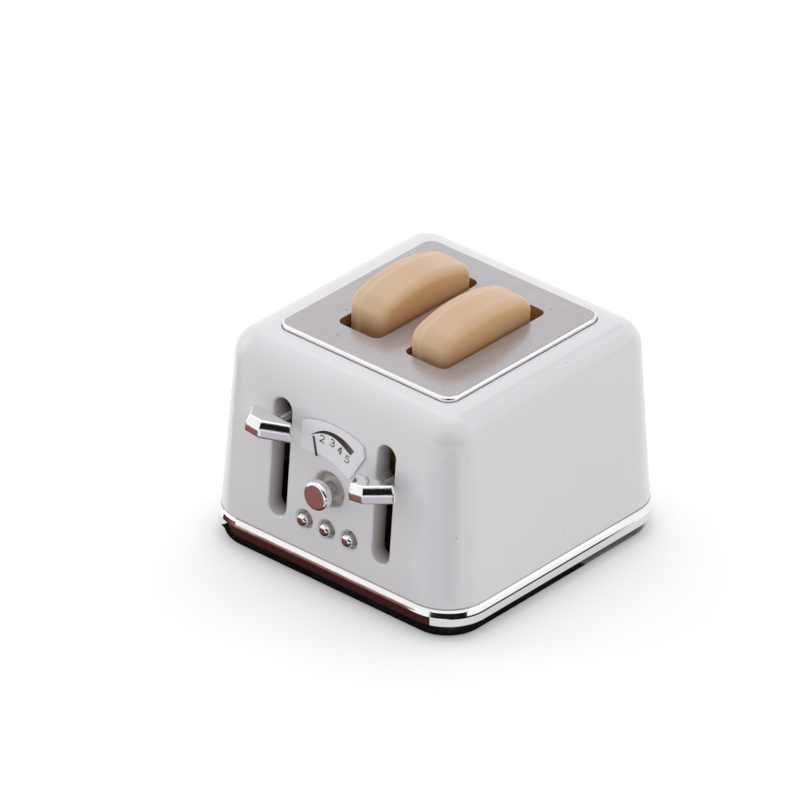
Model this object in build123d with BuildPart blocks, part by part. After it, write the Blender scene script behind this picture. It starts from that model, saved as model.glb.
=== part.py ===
from build123d import *

import os
from math import atan, cos, degrees, radians, sin, tan

os.makedirs("parts", exist_ok=True)

# Doll's-house toaster, millimetres.  +Z up, levers and dial on the -Y side,
# origin at the centre of the underside.

# ---------------------------------------------------------------- casing
body_width = 29.1            # square plan, at the shell's lower rim
body_corner_radius = 4.0     # plan corner, at the lower rim
body_draft = 4.12            # degrees that every side leans in
shell_height = 17.7
top_edge_radius = 2.6
wall = 1.8
roof = 1.5
cutout_edge = 0.18           # softened rims of the cut-outs in the front
facing = 0.9999              # how nearly parallel counts as facing a way

# ---------------------------------------------------------------- base and trim
base_height = 1.5            # black part seen below the trim
base_inset = 0.5             # base edge behind the trim's edge
base_edge_radius = 0.7
trim_height = 1.65
trim_overhang = 0.25         # trim beyond the shell's rim
trim_bevel_height = 0.85
spigot_height = 2.9
spigot_wall = 1.2
fit_gap = 0.1                # between moulded pieces that plug together

# ---------------------------------------------------------------- top plate
plate_side_border = 4.55     # plate's edge in from the shell's lower rim
plate_end_border = 4.4
plate_thickness = 0.9
plate_proud = 0.45
plate_corner_radius = 1.2
plate_edge_radius = 0.25
plate_y = 0.1
slot_spacing = 7.72          # between the two bread slots
slot_width = 4.84
slot_end_border = 3.3        # slot's end in from the plate's edge
slot_corner_radius = 0.8
slot_y = 0.35
collar_wall = 0.4            # drawn edge of each bread slot
lug_spacing = 5.0
lug_width = 1.6
lug_thickness = 0.4
lug_foot = 0.9
lug_inset = 1.0              # lug centre in from the plate's edge

# ---------------------------------------------------------------- bread
slice_end_gap = 0.9          # slice's end in from the slot's end
slice_height = 12.0
slice_thickness = 4.4
slice_crown_radius = 14.7
slice_corner_radius = 1.6
slice_edge_radius = 0.85
slice_lean = 1.5             # degrees, front end high
slice_y = {"left": 0.4, "right": -0.35}
slice_hold = {"left": 0.0, "right": 1.65}     # pinched this far above its tray

# ---------------------------------------------------------------- bread guards and end plates
sheet = 0.5                  # guards and end plates
well_gap = 0.08              # guard's face beyond the slot's edge
rib_width = 0.7
rib_gap = 0.1                # rib to bread
rib_drop = 3.0               # rib's head below the roof
rib_lead = 0.15              # sloped lead-in at the rib's head
window_count = 5
window_width = 1.4
window_height = 11.0
window_z = 9.6
arm_slot_gap = 0.25          # around the tray's arm
tab_height = 1.6
tab_gap = 0.03
tabs_z = (2.9, 15.0)
end_plate_margin = 0.6       # plate beyond the outer guards
flange_drop = 3.0            # flange's underside below the roof
flange_width = 3.0
flange_relief = 0.3          # notch beside and above the bent flange
flange_screw_reach = 1.5     # screw's centre out from the end plate
flange_margin = 1.2          # flange beyond the screw's centre
flange_boss_radius = 1.1

# ---------------------------------------------------------------- levers
lever_spacing = 12.0
lever_slot_width = 2.06
lever_slot_height = 11.5
lever_slot_z = 10.9
lever_z = {"left": 15.0, "right": 13.2}
lever_roll = {"left": 5.3, "right": -8.1}     # degrees, turned on the stem's pin
lever_rise = {"left": 0.6, "right": 2.4}      # travel left above the rest height
handle_clearance = 0.1       # behind the handle, at the shell's lower rim
handle_left = 2.83           # back corner, left of the stem
handle_right = 2.55          # end, right of the stem
handle_facet_left = 1.42     # front facet's ends, left and right of the stem
handle_facet_right = 0.21
handle_depth = 2.3
handle_end_depth = 0.84
handle_corner_radius = 0.7
handle_band = 0.84           # upright part below the bevel
handle_bevel_height = 0.75
handle_bevel = 0.27
handle_edge_radius = 0.06
stem_width = 1.0
stem_height = 0.9
stem_pin_radius = 0.45
rod_radius = 0.5
rod_inset = 4.95             # rod's centre in from the shell's lower rim
rod_play = 0.05
rod_socket = 1.1             # depth of the socket in the base
rod_top_socket = 0.22        # depth above the roof's underside
rod_chamfer = 0.1
rod_boss_radius = 1.4
rod_boss_drop = 1.45
carriage_boss_radius = 1.35
carriage_boss_top = 1.35     # above the lever's centre line
carriage_nose_width = 1.7
carriage_nose_height = 1.6
carriage_nose_inset = 2.95   # nose's tip in from the shell's lower rim
carriage_nose_corner = 0.3
carriage_fillet = 0.6
socket_depth = 1.2
drag_ring_radius = 0.95
drag_ring_height = 0.8
tray_width = 3.8
tray_end_gap = 0.75          # tray's end in from the slot's end
tray_thickness = 0.9
tray_window_count = 3
tray_end_bar = 0.7
tray_window_width = 1.9
tray_window_corner = 0.6
tray_to_lever = 2.45         # lever's centre line above the tray
tray_arm_width = 1.1
tray_arm_x = 5.2

# ---------------------------------------------------------------- dial and knob
dial_thickness = 0.35
dial_seat = 0.15
dial_edge_radius = 0.1
dial_gap = 0.05
controls_x = -0.2            # knob, dial and buttons stand a little left of the middle
knob_z = 9.95
knob_recess_radius = 1.65
knob_recess_depth = 1.0
knob_head_radius = 1.36
knob_head_thickness = 0.85
knob_front_edge = 0.28
knob_rear_edge = 0.1
knob_proud = 1.9
knob_neck_radius = 0.8
knob_shaft_radius = 0.5
knob_shaft_length = 1.3      # beyond the inside of the wall
shaft_play = 0.05
washer_radius = 1.15
washer_thickness = 0.25
push_nut_radius = 1.25
push_nut_thickness = 0.3
push_nut_teeth = 6
push_nut_slit = 0.2
push_nut_slit_depth = 0.35

# ---------------------------------------------------------------- buttons
button_z = 6.05
button_spacing = 2.6
button_recess_radius = 0.85
button_recess_depth = 0.5
button_radius = 0.58
button_play = 0.06
button_proud = 0.5
button_dome = 0.32
button_flange_radius = 0.85
button_flange_thickness = 0.35
button_tail_radius = 0.22
button_tail_length = 1.8
spring_radius = 0.45
spring_wire = 0.13
spring_length = 1.4
spring_turns = 3.5
bar_length = 7.6
bar_height = 3.4
bar_thickness = 0.8
bar_rise = 0.7               # bar's middle above the button row
bar_corner_radius = 0.5
bar_post_radius = 0.65
bar_post_x = 2.2
bar_post_rise = 1.7

# ---------------------------------------------------------------- screws
base_post_margin = 0.26      # post to the outside of the base's rim
base_screw_radius = 0.5
base_screw_length = 6.0
base_screw_head_radius = 1.0
base_screw_head_height = 0.6
base_screw_recess = 0.8
base_post_radius = 1.5
corner_boss_height = 6.0
small_screw_radius = 0.3
small_screw_length = 2.2
small_screw_head_radius = 0.55
small_screw_head_height = 0.35
thread_gap = 0.02
hole_gap = 0.1

# ---------------------------------------------------------------- derived sizes
shell_bottom = base_height + trim_height
shell_top = shell_bottom + shell_height
roof_underside = shell_top - roof
plate_top = shell_top + plate_proud
plate_underside = plate_top - plate_thickness
spigot_top = base_height + spigot_height
draft_slope = tan(radians(body_draft))
outward = Vector(0, -cos(radians(body_draft)), sin(radians(body_draft)))


def skin(z):
    """Half width of the leaning outer skin at height z."""
    return body_width / 2 - (z - shell_bottom) * draft_slope


def on_front(x, z, inward=0.0):
    """Plane parallel to the front face, its normal pointing out of the casing."""
    return Plane(
        origin=Vector(x, -skin(z), z) - outward * inward,
        x_dir=(1, 0, 0),
        z_dir=outward,
    )


def turned_on_front(x, z):
    """Plane for turned pieces: local X is the radius, local Y points out of the face."""
    face = on_front(x, z)
    return Plane(origin=face.origin, x_dir=face.x_dir, z_dir=face.x_dir.cross(outward))


sides = {"left": -1, "right": 1}
ends = {"front": -1, "rear": 1}
places = {"inner": -1, "outer": 1}
plate_width = body_width - 2 * plate_side_border
plate_depth = body_width - 2 * plate_end_border
slot_length = plate_depth - 2 * slot_end_border
slice_length = slot_length - 2 * slice_end_gap
tray_length = slot_length - 2 * tray_end_gap
tray_window_spacing = (tray_length - 2 * tray_end_bar) / tray_window_count
wells_x = [side * slot_spacing / 2 for side in sides.values()]
rods_x = [side * lever_spacing / 2 for side in sides.values()]
rod_y = rod_inset - body_width / 2
carriage_nose_y = carriage_nose_inset - body_width / 2
handle_back_y = -body_width / 2 - handle_clearance
well_width = slot_width + 2 * well_gap
well_length = slot_length + 2 * well_gap
well_ends_y = {end: slot_y + turn * well_length / 2 for end, turn in ends.items()}
window_spacing = well_length / (window_count + 1)
rib_height = (well_width - slice_thickness) / 2 - rib_gap
rib_top = roof_underside - rib_drop
guards_half = slot_spacing / 2 + well_width / 2 + sheet
flange_reach = sheet + flange_screw_reach + flange_margin
flange_underside = roof_underside - flange_drop
flange_screws = [
    (0, well_ends_y[end] + turn * (sheet + flange_screw_reach)) for end, turn in ends.items()
]
spigot_half = skin(spigot_top) - wall - fit_gap
spigot_radius = body_corner_radius - wall - fit_gap
base_half = body_width / 2 + trim_overhang - base_inset
trim_half = body_width / 2 + trim_overhang
buttons_x = {
    "left": controls_x - button_spacing,
    "centre": controls_x,
    "right": controls_x + button_spacing,
}
bar_inward = wall + button_flange_thickness + spring_length
bar_posts = [(-bar_post_x, bar_post_rise), (bar_post_x, bar_post_rise)]
base_screw_spacing = 2 * (spigot_half - base_post_radius - base_post_margin)
base_screws_at = GridLocations(base_screw_spacing, base_screw_spacing, 2, 2)
rod_bottom = base_height - rod_socket
rod_top = roof_underside + rod_top_socket
lug_rows = {
    -1: plate_y - plate_depth / 2 + lug_inset,
    1: plate_y + plate_depth / 2 - lug_inset,
}

# fan-shaped dial: outline on the front face, measured from the knob's centre
dial_left = -3.45
dial_left_foot = 2.65
dial_left_shoulder = 5.75
dial_crest = (0.8, 6.46)
dial_right_shoulder = (3.75, 5.75)
dial_right = (4.02, 4.75)
dial_right_foot = (2.3, 1.8)
dial_foot_crest = (-1.0, 3.02)
dial_corner_radius = 0.45

with BuildSketch() as dial_outline:
    with BuildLine():
        left_side = Line((dial_left, dial_left_foot), (dial_left, dial_left_shoulder))
        crest = ThreePointArc(left_side @ 1, dial_crest, dial_right_shoulder)
        shoulder = Line(crest @ 1, dial_right)
        right_side = Line(shoulder @ 1, dial_right_foot)
        ThreePointArc(right_side @ 1, dial_foot_crest, left_side @ 0)
    make_face()
    fillet(dial_outline.vertices(), dial_corner_radius)


def front_rims(part):
    """Rims of the cut-outs in the largest face that points forward."""
    forward = part.faces().filter_by(lambda face: face.normal_at().dot(outward) > facing)
    return forward.sort_by(SortBy.AREA)[-1].inner_wires().edges()


# ================================================================ body shell
with BuildPart() as body_shell:
    with BuildSketch(Plane.XY.offset(shell_bottom)):
        RectangleRounded(body_width, body_width, body_corner_radius)
    extrude(amount=shell_height, taper=body_draft)
    fillet(body_shell.faces().sort_by(Axis.Z)[-1].edges(), top_edge_radius)
    with BuildSketch(Plane.XY.offset(shell_bottom)):
        RectangleRounded(
            body_width - 2 * wall, body_width - 2 * wall, body_corner_radius - wall
        )
    extrude(amount=shell_height - roof, taper=body_draft, mode=Mode.SUBTRACT)

    # seat for the top plate, square windows for its collars, slits for its lugs
    with BuildSketch(Plane.XY.offset(plate_underside)):
        with Locations((0, plate_y)):
            RectangleRounded(
                plate_width + 2 * fit_gap,
                plate_depth + 2 * fit_gap,
                plate_corner_radius + fit_gap,
            )
    extrude(amount=roof, mode=Mode.SUBTRACT)
    with BuildSketch(Plane.XY.offset(roof_underside)):
        with Locations(*[(x, slot_y) for x in wells_x]):
            Rectangle(
                slot_width + 2 * (collar_wall + fit_gap),
                slot_length + 2 * (collar_wall + fit_gap),
            )
        for row in lug_rows.values():
            with Locations((-lug_spacing / 2, row), (lug_spacing / 2, row)):
                Rectangle(lug_width + 2 * fit_gap, lug_thickness + 2 * fit_gap)
    extrude(amount=roof, mode=Mode.SUBTRACT)

    # front face: lever slots, knob and button recesses with softened rims
    with BuildSketch(Plane.XZ.offset(body_width / 2)):
        with Locations(*[(x, lever_slot_z) for x in rods_x]):
            SlotOverall(lever_slot_height, lever_slot_width, rotation=90)
    extrude(amount=-2 * wall, mode=Mode.SUBTRACT)
    with BuildSketch(on_front(controls_x, knob_z)):
        Circle(knob_recess_radius)
    extrude(amount=-knob_recess_depth, mode=Mode.SUBTRACT)
    with BuildSketch(on_front(0, button_z)):
        with Locations(*[(x, 0) for x in buttons_x.values()]):
            Circle(button_recess_radius)
    extrude(amount=-button_recess_depth, mode=Mode.SUBTRACT)
    chamfer(front_rims(body_shell).filter_by(GeomType.CIRCLE), cutout_edge)
    slot_rims = front_rims(body_shell).filter_by(GeomType.CIRCLE, reverse=True)
    fillet(slot_rims, cutout_edge)

    # seat for the dial, bores for the knob's shaft and the buttons
    with BuildSketch(on_front(controls_x, knob_z)):
        add(dial_outline.sketch)
    extrude(amount=-dial_seat, mode=Mode.SUBTRACT)
    with BuildSketch(on_front(controls_x, knob_z)):
        Circle(knob_shaft_radius + shaft_play)
    extrude(amount=-wall - fit_gap, mode=Mode.SUBTRACT)
    with BuildSketch(on_front(0, button_z)):
        with Locations(*[(x, 0) for x in buttons_x.values()]):
            Circle(button_radius + button_play)
    extrude(amount=-wall - fit_gap, mode=Mode.SUBTRACT)

    # bosses inside: base screws, guide rods, end plates' flanges, button bar
    with BuildSketch(Plane.XY.offset(spigot_top)):
        with base_screws_at:
            Circle(base_post_radius)
    extrude(amount=corner_boss_height)
    with BuildSketch(Plane.XY.offset(roof_underside)):
        with Locations(*[(x, rod_y) for x in rods_x]):
            Circle(rod_boss_radius)
    extrude(amount=-rod_boss_drop)
    with BuildSketch(Plane.XY.offset(roof_underside)):
        with Locations(*flange_screws):
            Circle(flange_boss_radius)
    extrude(amount=sheet - flange_drop)
    with BuildSketch(on_front(controls_x, button_z, bar_inward)):
        with Locations(*bar_posts):
            Circle(bar_post_radius)
    extrude(amount=bar_inward - wall + fit_gap)

    # blind holes in the bosses
    with BuildSketch(Plane.XY.offset(spigot_top)):
        with base_screws_at:
            Circle(base_screw_radius + thread_gap)
    extrude(amount=corner_boss_height - wall / 2, mode=Mode.SUBTRACT)
    with BuildSketch(Plane.XY.offset(roof_underside - rod_boss_drop)):
        with Locations(*[(x, rod_y) for x in rods_x]):
            Circle(rod_radius + thread_gap)
    extrude(amount=rod_boss_drop + rod_top_socket, mode=Mode.SUBTRACT)
    with BuildSketch(Plane.XY.offset(flange_underside + sheet)):
        with Locations(*flange_screws):
            Circle(small_screw_radius + thread_gap)
    extrude(amount=small_screw_length - sheet + fit_gap, mode=Mode.SUBTRACT)
    with BuildSketch(on_front(controls_x, button_z, bar_inward)):
        with Locations(*bar_posts):
            Circle(small_screw_radius + thread_gap)
    extrude(amount=small_screw_length - bar_thickness + fit_gap, mode=Mode.SUBTRACT)

body_shell.part.label = "body_shell"
export_step(body_shell.part, "parts/body_shell.step")

# ================================================================ top plate
with BuildPart() as top_plate:
    with BuildSketch(Plane.XY.offset(plate_underside)):
        with Locations((0, plate_y)):
            RectangleRounded(plate_width, plate_depth, plate_corner_radius)
    extrude(amount=plate_thickness)
    fillet(top_plate.faces().sort_by(Axis.Z)[-1].edges(), plate_edge_radius)
    with BuildSketch(Plane.XY.offset(plate_underside)):
        with Locations(*[(x, slot_y) for x in wells_x]):
            RectangleRounded(
                slot_width + 2 * collar_wall,
                slot_length + 2 * collar_wall,
                slot_corner_radius + collar_wall,
            )
    extrude(amount=roof_underside - plate_underside)
    with BuildSketch(Plane.XY.offset(plate_top)):
        with Locations(*[(x, slot_y) for x in wells_x]):
            RectangleRounded(slot_width, slot_length, slot_corner_radius)
    extrude(amount=roof_underside - plate_top, mode=Mode.SUBTRACT)
    for direction, row in lug_rows.items():
        with BuildSketch(Plane.XY.offset(plate_underside)):
            with Locations((-lug_spacing / 2, row), (lug_spacing / 2, row)):
                Rectangle(lug_width, lug_thickness)
        extrude(amount=roof_underside - plate_underside - lug_thickness)
        foot_y = row + direction * lug_foot / 2
        with BuildSketch(Plane.XY.offset(roof_underside)):
            with Locations((-lug_spacing / 2, foot_y), (lug_spacing / 2, foot_y)):
                Rectangle(lug_width, lug_thickness + lug_foot)
        extrude(amount=-lug_thickness)

top_plate.part.label = "top_plate"
export_step(top_plate.part, "parts/top_plate.step")

# ================================================================ bread guards, two to a slot
for name, side in sides.items():
    for place, turn in places.items():
        away = side * turn
        guard_x = side * slot_spacing / 2 + away * well_width / 2
        with BuildPart() as bread_guard:
            with BuildSketch(Plane.YZ.offset(guard_x)):
                with Locations((slot_y, (base_height + roof_underside) / 2)):
                    Rectangle(well_length, roof_underside - base_height)
                with Locations(*[(slot_y, z) for z in tabs_z]):
                    Rectangle(well_length + 2 * sheet, tab_height)
                with Locations((slot_y, window_z)):
                    with GridLocations(window_spacing, 0, window_count, 1):
                        SlotOverall(
                            window_height, window_width, rotation=90, mode=Mode.SUBTRACT
                        )
            extrude(amount=away * sheet)

            # upright ribs that centre the bread, between the windows
            with BuildSketch(Plane.YZ.offset(guard_x)):
                with Locations((slot_y, (base_height + rib_top) / 2)):
                    with GridLocations(window_spacing, 0, window_count - 1, 1):
                        Rectangle(rib_width, rib_top - base_height)
            extrude(amount=-away * rib_height)
            rib_heads = bread_guard.edges().filter_by(Axis.Y).filter_by_position(
                Axis.Z, rib_top - rib_gap, rib_top + rib_gap
            )
            heads_in_order = rib_heads.sort_by(Axis.X, reverse=away > 0)
            chamfer(heads_in_order[-window_count + 1 :], rib_lead)

        bread_guard.part.label = f"{name}_{place}_guard"
        export_step(bread_guard.part, f"parts/{name}_{place}_guard.step")

# ================================================================ end plates that hold the guards
for end, turn in ends.items():
    inner_y = well_ends_y[end]
    with BuildPart() as end_plate:
        with BuildSketch(Plane.XZ.offset(-inner_y)):
            with Locations((0, (base_height + roof_underside) / 2)):
                Rectangle(
                    2 * (guards_half + end_plate_margin), roof_underside - base_height
                )
            for name, side in sides.items():
                for place, place_turn in places.items():
                    tab_x = side * (slot_spacing + place_turn * (well_width + sheet)) / 2
                    with Locations(*[(tab_x, z) for z in tabs_z]):
                        Rectangle(
                            sheet + 2 * tab_gap,
                            tab_height + 2 * tab_gap,
                            mode=Mode.SUBTRACT,
                        )
                if end == "front":
                    arm_top = lever_z[name] + lever_rise[name] - tray_to_lever
                    slot_top = arm_top + arm_slot_gap
                    with Locations((side * tray_arm_x, (base_height + slot_top) / 2)):
                        Rectangle(
                            tray_arm_width + 2 * arm_slot_gap,
                            slot_top - base_height,
                            mode=Mode.SUBTRACT,
                        )
            with Locations((0, roof_underside - (flange_drop - sheet) / 2)):
                Rectangle(
                    flange_width + 2 * flange_relief,
                    flange_drop - sheet,
                    mode=Mode.SUBTRACT,
                )
        extrude(amount=-turn * sheet)

        # flange bent outward, screwed up against the roof's boss
        with BuildSketch(Plane.XY.offset(flange_underside)):
            with Locations((0, inner_y + turn * flange_reach / 2)):
                Rectangle(flange_width, flange_reach)
            with Locations(*flange_screws):
                Circle(small_screw_radius + hole_gap, mode=Mode.SUBTRACT)
        extrude(amount=sheet)

    end_plate.part.label = f"{end}_end_plate"
    export_step(end_plate.part, f"parts/{end}_end_plate.step")

with BuildPart() as end_plate_screws:
    with BuildSketch(Plane.XY.offset(flange_underside)):
        with Locations(*flange_screws):
            Circle(small_screw_radius)
    extrude(amount=small_screw_length)
    with BuildSketch(Plane.XY.offset(flange_underside)):
        with Locations(*flange_screws):
            Circle(small_screw_head_radius)
    extrude(amount=-small_screw_head_height)

end_plate_screws.part.label = "end_plate_screws"
export_step(end_plate_screws.part, "parts/end_plate_screws.step")

# ================================================================ lever gear, one set a side
for name, side in sides.items():
    lever_x = side * lever_spacing / 2
    bread_x = side * slot_spacing / 2
    centre_z = lever_z[name]
    tray_top = centre_z - tray_to_lever
    tray_bottom = tray_top - tray_thickness
    boss_top = centre_z + carriage_boss_top
    roll = radians(lever_roll[name])
    across = Vector(cos(roll), 0, -sin(roll))
    upward = Vector(sin(roll), 0, cos(roll))

    # faceted thumb piece with its stem, turned a little on the stem's round pin
    handle_plane = Plane(
        origin=(lever_x, handle_back_y, centre_z), x_dir=across, z_dir=upward
    )
    with BuildPart() as lever_handle:
        handle_underside = handle_plane.offset(-(handle_band + handle_bevel_height) / 2)
        with BuildSketch(handle_underside) as handle_outline:
            with BuildLine():
                Polyline(
                    (-handle_left, 0),
                    (-handle_facet_left, -handle_depth),
                    (handle_facet_right, -handle_depth),
                    (handle_right, -handle_end_depth),
                    (handle_right, 0),
                    close=True,
                )
            make_face()
            fillet(handle_outline.vertices().sort_by(Axis.Y)[-2:], handle_corner_radius)
        extrude(amount=handle_band)
        extrude(
            lever_handle.faces().sort_by(Axis((0, 0, 0), upward))[-1],
            amount=handle_bevel_height,
            taper=degrees(atan(handle_bevel / handle_bevel_height)),
        )
        fillet(lever_handle.edges(), handle_edge_radius)
        stem_plane = Plane(
            origin=(lever_x, handle_back_y, centre_z), x_dir=across, z_dir=(0, 1, 0)
        )
        with BuildSketch(stem_plane.offset(-handle_end_depth)):
            Rectangle(stem_width, stem_height)
        extrude(amount=carriage_nose_y - handle_back_y + handle_end_depth)
        with BuildSketch(stem_plane.offset(carriage_nose_y - handle_back_y)):
            Circle(stem_pin_radius)
        extrude(amount=socket_depth)

    lever_handle.part.label = f"{name}_lever_handle"
    export_step(lever_handle.part, f"parts/{name}_lever_handle.step")

    # bread tray with the arm, boss and nose that carry it on the guide rod
    tray_front = slot_y - tray_length / 2
    web_back = well_ends_y["front"] - sheet - arm_slot_gap
    with BuildPart() as carriage:
        with BuildSketch(Plane.XY.offset(tray_bottom)):
            with Locations((bread_x, slot_y)):
                RectangleRounded(tray_width, tray_length, slot_corner_radius)
                with GridLocations(0, tray_window_spacing, 1, tray_window_count):
                    RectangleRounded(
                        tray_window_width,
                        tray_window_spacing - tray_thickness,
                        tray_window_corner,
                        mode=Mode.SUBTRACT,
                    )
        extrude(amount=tray_thickness)
        with BuildSketch(Plane.YZ.offset(side * tray_arm_x)) as arm_profile:
            with BuildLine():
                Polyline(
                    (rod_y, tray_bottom),
                    (tray_front + slot_corner_radius, tray_bottom),
                    (tray_front + slot_corner_radius, tray_top),
                    (web_back, tray_top),
                    (web_back, centre_z),
                    (rod_y, boss_top),
                    close=True,
                )
            make_face()
            inner_corner = arm_profile.vertices().sort_by_distance(
                (side * tray_arm_x, web_back, tray_top)
            )[0]
            fillet(inner_corner, carriage_fillet)
        extrude(amount=tray_arm_width / 2, both=True)
        with BuildSketch(Plane.XY.offset(tray_bottom)):
            with Locations((lever_x, rod_y)):
                Circle(carriage_boss_radius)
        extrude(amount=boss_top - tray_bottom)
        with BuildSketch(Plane.XZ.offset(-carriage_nose_y)):
            with Locations((lever_x, centre_z)):
                RectangleRounded(
                    carriage_nose_width, carriage_nose_height, carriage_nose_corner
                )
        extrude(amount=carriage_nose_y - rod_y)
        with BuildSketch(Plane.XY.offset(tray_bottom)):
            with Locations((lever_x, rod_y)):
                Circle(rod_radius + rod_play)
        extrude(amount=boss_top - tray_bottom, mode=Mode.SUBTRACT)
        with BuildSketch(Plane.XY.offset(boss_top)):
            with Locations((lever_x, rod_y)):
                Circle(drag_ring_radius)
        extrude(amount=-drag_ring_height, mode=Mode.SUBTRACT)
        with BuildSketch(Plane.XZ.offset(-carriage_nose_y)):
            with Locations((lever_x, centre_z)):
                Circle(stem_pin_radius + thread_gap)
        extrude(amount=-socket_depth - thread_gap, mode=Mode.SUBTRACT)

    carriage.part.label = f"{name}_carriage"
    export_step(carriage.part, f"parts/{name}_carriage.step")

    # rubber ring pressed into the boss: its grip keeps the lever where it is put
    with BuildPart() as drag_ring:
        with BuildSketch(Plane.XY.offset(boss_top)):
            with Locations((lever_x, rod_y)):
                Circle(drag_ring_radius)
                Circle(rod_radius + thread_gap, mode=Mode.SUBTRACT)
        extrude(amount=-drag_ring_height)

    drag_ring.part.label = f"{name}_drag_ring"
    export_step(drag_ring.part, f"parts/{name}_drag_ring.step")

    with BuildPart() as guide_rod:
        with BuildSketch(Plane.XY.offset(rod_bottom)):
            with Locations((lever_x, rod_y)):
                Circle(rod_radius)
        extrude(amount=rod_top - rod_bottom)
        chamfer(guide_rod.edges().filter_by(GeomType.CIRCLE), rod_chamfer)

    guide_rod.part.label = f"{name}_guide_rod"
    export_step(guide_rod.part, f"parts/{name}_guide_rod.step")

    # slice of bread, leaning back a little in its slot
    lean = radians(slice_lean)
    half_length = slice_length / 2
    foot_drop = half_length * sin(lean) - slice_corner_radius * (cos(lean) + sin(lean) - 1)
    foot_z = tray_top + slice_hold[name] + foot_drop
    slice_plane = Plane(
        origin=(bread_x, slice_y[name], foot_z),
        x_dir=(0, cos(lean), -sin(lean)),
        z_dir=(1, 0, 0),
    )
    crown_sag = slice_crown_radius - (slice_crown_radius**2 - half_length**2) ** 0.5
    shoulder_z = slice_height - crown_sag
    with BuildPart() as toast:
        with BuildSketch(slice_plane) as slice_profile:
            with BuildLine():
                foot = Line((-half_length, 0), (half_length, 0))
                back = Line(foot @ 1, (half_length, shoulder_z))
                crown = ThreePointArc(back @ 1, (0, slice_height), (-half_length, shoulder_z))
                Line(crown @ 1, foot @ 0)
            make_face()
            fillet(slice_profile.vertices(), slice_corner_radius)
        extrude(amount=slice_thickness / 2, both=True)
        cut_faces = toast.faces().filter_by(Axis.X)
        fillet(cut_faces.edges(), slice_edge_radius)

    toast.part.label = f"{name}_toast"
    export_step(toast.part, f"parts/{name}_toast.step")

# ================================================================ dial, knob and its fixings
with BuildPart() as dial_label:
    with BuildSketch(on_front(controls_x, knob_z, dial_seat)):
        add(dial_outline.sketch)
        offset(amount=-dial_gap, mode=Mode.REPLACE)
    extrude(amount=dial_thickness)
    dial_faces = dial_label.faces().filter_by(
        lambda face: face.normal_at().dot(outward) > facing
    )
    fillet(dial_faces.edges(), dial_edge_radius)

dial_label.part.label = "dial_label"
export_step(dial_label.part, "parts/dial_label.step")

knob_axis = Axis(on_front(controls_x, knob_z).origin, outward)
knob_seat = washer_thickness - knob_recess_depth
head_back = knob_proud - knob_head_thickness
with BuildPart() as control_knob:
    with BuildSketch(turned_on_front(controls_x, knob_z)):
        with BuildLine():
            Polyline(
                (0, -wall - knob_shaft_length),
                (knob_shaft_radius, -wall - knob_shaft_length),
                (knob_shaft_radius, knob_seat),
                (knob_neck_radius, knob_seat),
                (knob_neck_radius, head_back),
                (knob_head_radius, head_back),
                (knob_head_radius, knob_proud),
                (0, knob_proud),
                close=True,
            )
        make_face()
    revolve(axis=knob_axis)
    rims = control_knob.edges().filter_by(
        lambda edge: edge.geom_type == GeomType.CIRCLE
        and abs(edge.radius - knob_head_radius) < thread_gap
    )
    fillet(rims.sort_by(knob_axis)[-1], knob_front_edge)
    fillet(rims.sort_by(knob_axis)[0], knob_rear_edge)

control_knob.part.label = "control_knob"
export_step(control_knob.part, "parts/control_knob.step")

with BuildPart() as knob_washer:
    with BuildSketch(on_front(controls_x, knob_z, knob_recess_depth)):
        Circle(washer_radius)
        Circle(knob_shaft_radius + shaft_play, mode=Mode.SUBTRACT)
    extrude(amount=washer_thickness)

knob_washer.part.label = "knob_washer"
export_step(knob_washer.part, "parts/knob_washer.step")

with BuildPart() as knob_push_nut:
    with BuildSketch(on_front(controls_x, knob_z, wall + shaft_play)):
        Circle(push_nut_radius)
        Circle(knob_shaft_radius, mode=Mode.SUBTRACT)
        with PolarLocations(knob_shaft_radius, push_nut_teeth):
            Rectangle(2 * push_nut_slit_depth, push_nut_slit, mode=Mode.SUBTRACT)
    extrude(amount=-push_nut_thickness)

knob_push_nut.part.label = "knob_push_nut"
export_step(knob_push_nut.part, "parts/knob_push_nut.step")

# ================================================================ push buttons
flange_back = -wall - button_flange_thickness
for name, x in buttons_x.items():
    with BuildPart() as push_button:
        with BuildSketch(turned_on_front(x, button_z)):
            with BuildLine():
                side_line = Polyline(
                    (0, flange_back - button_tail_length),
                    (button_tail_radius, flange_back - button_tail_length),
                    (button_tail_radius, flange_back),
                    (button_flange_radius, flange_back),
                    (button_flange_radius, -wall),
                    (button_radius, -wall),
                    (button_radius, button_proud - button_dome),
                )
                dome = JernArc(side_line @ 1, (0, 1), button_dome, 90)
                Line(dome @ 1, (0, button_proud))
                Line((0, button_proud), side_line @ 0)
            make_face()
        revolve(axis=Axis(on_front(x, button_z).origin, outward))

    push_button.part.label = f"{name}_button"
    export_step(push_button.part, f"parts/{name}_button.step")

    spring_seat = on_front(x, button_z, -flange_back)
    with BuildPart() as button_spring:
        with BuildLine() as coil:
            Helix(
                pitch=(spring_length - spring_wire) / spring_turns,
                height=spring_length - spring_wire,
                radius=spring_radius,
                center=spring_seat.origin - outward * spring_wire / 2,
                direction=-outward,
            )
        with BuildSketch(Plane(origin=coil.line @ 0, z_dir=coil.line % 0)):
            Rectangle(spring_wire, spring_wire)
        sweep(path=coil.line, is_frenet=True)

    button_spring.part.label = f"{name}_button_spring"
    export_step(button_spring.part, f"parts/{name}_button_spring.step")

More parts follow.
